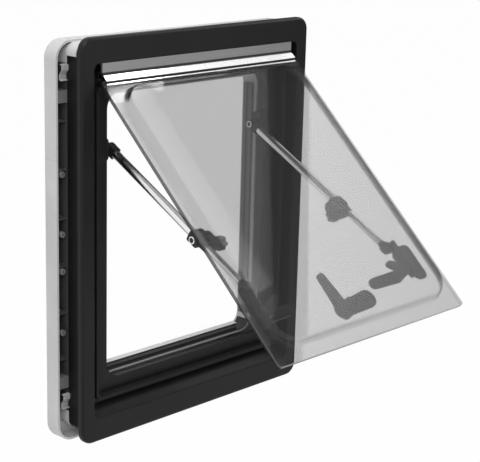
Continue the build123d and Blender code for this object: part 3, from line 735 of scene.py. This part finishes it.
def make_camera():
    """The camera at the photo's angle, with the frame's lines as it shows them."""
    right, up, forward = camera_axes()
    data = bpy.data.cameras.new("camera")
    data.sensor_width = SENSOR_MM
    data.lens = FOCAL_PX / IMAGE_W_PX * SENSOR_MM
    camera = bpy.data.objects.new("camera", data)
    camera.matrix_world = placed(right, up, -forward, CAMERA_AT)
    bpy.context.scene.collection.objects.link(camera)
    bpy.context.scene.camera = camera


def seen(graph):
    """1 where the background shows to the camera, in a reflection or through glass."""
    path = graph.add("LightPath").outputs
    direct = graph.math("MAXIMUM", path["Is Camera Ray"], path["Is Glossy Ray"])
    return graph.math("MAXIMUM", direct, path["Is Transmission Ray"])


def make_world():
    """A white surround that lights the part less than it shows."""
    world = bpy.data.worlds.new("studio")
    bpy.context.scene.world = world
    world.use_nodes = True
    graph = Graph(world.node_tree)
    background = world.node_tree.nodes["Background"]
    background.inputs["Color"].default_value = grey(1.0)
    graph.put(background.inputs["Strength"], graph.ramp(seen(graph), 0.0, 1.0, AMBIENT, 1.0))


def stage_plane(name, half_w, half_h, matrix, material):
    """A plane that belongs to the stage and not to the part."""
    data = bpy.data.meshes.new(name)
    corners = [(-half_w, -half_h, 0), (half_w, -half_h, 0), (half_w, half_h, 0), (-half_w, half_h, 0)]
    data.from_pydata(corners, [], [(0, 1, 2, 3)])
    data.materials.append(material)
    plane = bpy.data.objects.new(name, data)
    plane.matrix_world = matrix
    bpy.context.scene.collection.objects.link(plane)
    return plane


def make_floor():
    """A pale floor that shows white and keeps a trace of the shadow."""
    material, graph, shader = new_material("pale_floor")
    shader.inputs["Base Color"].default_value = grey(FLOOR_TONE)
    shader.inputs["Roughness"].default_value = FLOOR_ROUGH
    glow = graph.add("Emission", {"Color": grey(1.0), "Strength": 1.0})
    share = graph.math("MULTIPLY", seen(graph), FLOOR_WHITE)
    mix = graph.add("MixShader", {0: share, 1: shader.outputs[0], 2: glow.outputs[0]})
    output = material.node_tree.nodes["Material Output"]
    graph.put(output.inputs["Surface"], mix.outputs[0])
    at = Matrix.Translation((0, 0, CAD_BOX[0][2] - FLOOR_DROP))
    stage_plane("floor", FLOOR_SIZE / 2, FLOOR_SIZE / 2, at, material)


def make_lamps():
    """Soft lamps that reflections don't show."""
    for name, at, size, watts in LAMPS:
        data = bpy.data.lights.new(name, "AREA")
        data.size = size
        data.energy = watts
        lamp = bpy.data.objects.new(name, data)
        lamp.matrix_world = aimed(at, LAMP_AIM)
        lamp.visible_glossy = False
        bpy.context.scene.collection.objects.link(lamp)


def card(name, width, height, matrix, lights):
    """A card that only reflections show; its glow changes from its foot to its top."""
    material = bpy.data.materials.new(name)
    material.use_nodes = True
    graph = Graph(material.node_tree)
    up = graph.xyz(graph.place("Generated"))[1]
    glow = graph.add("Emission", {"Color": grey(1.0), "Strength": graph.ramp(up, 0.0, 1.0, *lights)})
    graph.put(material.node_tree.nodes["Material Output"].inputs["Surface"], glow.outputs[0])
    plane = stage_plane(name, width / 2, height / 2, matrix, material)
    plane.visible_camera = False
    plane.visible_diffuse = False
    plane.visible_transmission = False
    plane.visible_shadow = False


def make_cards():
    """A dark card to the right, softboxes where the pane mirrors them, and a bright card for the glints."""
    middle = Vector((SIDE_CARD_X, sum(SIDE_CARD_Y) / 2, sum(SIDE_CARD_Z) / 2))
    width = SIDE_CARD_Y[1] - SIDE_CARD_Y[0]
    height = SIDE_CARD_Z[1] - SIDE_CARD_Z[0]
    card("dark_card", width, height, placed(-INWARDS, UP, -ACROSS, middle), (0.0, 0.0))
    target = sash_point(*CARD_AIM, 0.0)
    sight = (target - CAMERA_AT).normalized()
    back = sight - OUT * (2 * sight.dot(OUT))
    across = Vector((-back.y, back.x, 0)).normalized()
    rise = across.cross(-back)
    if rise.z < 0:
        rise = -rise
    centre = target + back * CARD_DISTANCE

    def softbox(name, start, stop, height, lights, behind=0.0):
        """A softbox that hangs below the line from start to stop, on a plane that faces the pane."""
        first, second = (centre + back * behind + across * u + rise * v for u, v in (start, stop))
        run = (second - first).normalized()
        up = (-back).cross(run)
        if up.z < 0:
            run, up = -run, -up
        at = (first + second) / 2 - up * height / 2
        card(name, (second - first).length, height, placed(run, up, -back, at), lights)

    for name, values in SOFTBOXES.items():
        softbox(name, **values)
    card("glint_box", *GLINT_SIZE, aimed(GLINT_AT, GLINT_AIM), (GLINT_LIGHT, GLINT_LIGHT))


dress_nodes()
for node, values in SHEETS.items():
    make_sheet(node, **values)
make_rail_strip("rail_cap", RAIL_CAP, "rail_aluminium")
make_rail_strip("rail_gasket", RAIL_GASKET, "seal_rubber")
make_rings()
for hand, side in SIDES.items():
    make_gap_clips(hand, side)
    make_gap_bosses(hand, side)
    make_corner_cover(hand, side)
make_camera()
make_world()
make_floor()
make_lamps()
make_cards()
bpy.context.scene.view_settings.view_transform = "Standard"
